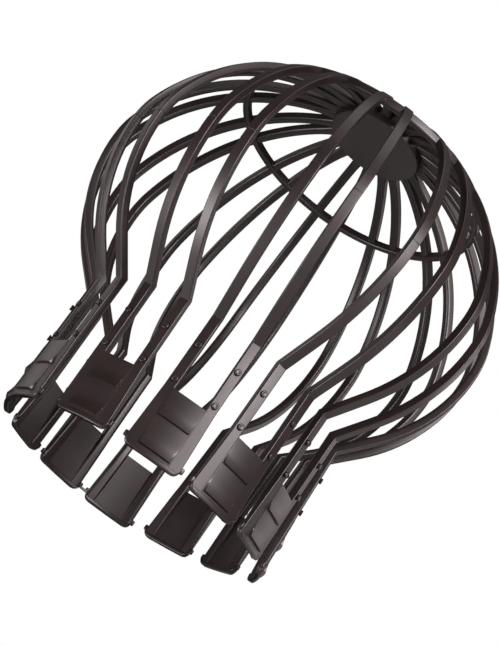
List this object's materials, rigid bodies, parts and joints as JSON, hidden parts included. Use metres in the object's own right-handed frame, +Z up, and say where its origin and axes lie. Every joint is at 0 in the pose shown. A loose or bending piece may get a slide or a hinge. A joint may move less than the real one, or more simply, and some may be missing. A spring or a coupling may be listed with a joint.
{
  "type": "gutter guard",
  "caption": "Balloon-shaped leaf strainer with paired ribs and a ring of spring paddles that push into the top of a downpipe.",
  "frame": {"origin": "centre of the mouth, in the plane of the paddle tips", "axes": "+Z up the axis from the mouth to the hub, -Y towards the paddle that faces the picture's camera, +X to its right"},
  "size_m": [0.1415, 0.1414, 0.1515],
  "materials": {
    "body": "satin black-brown polypropylene"
  },
  "bodies": {
    "root": {"gutter_guard": "body"}
  },
  "joints": []
}
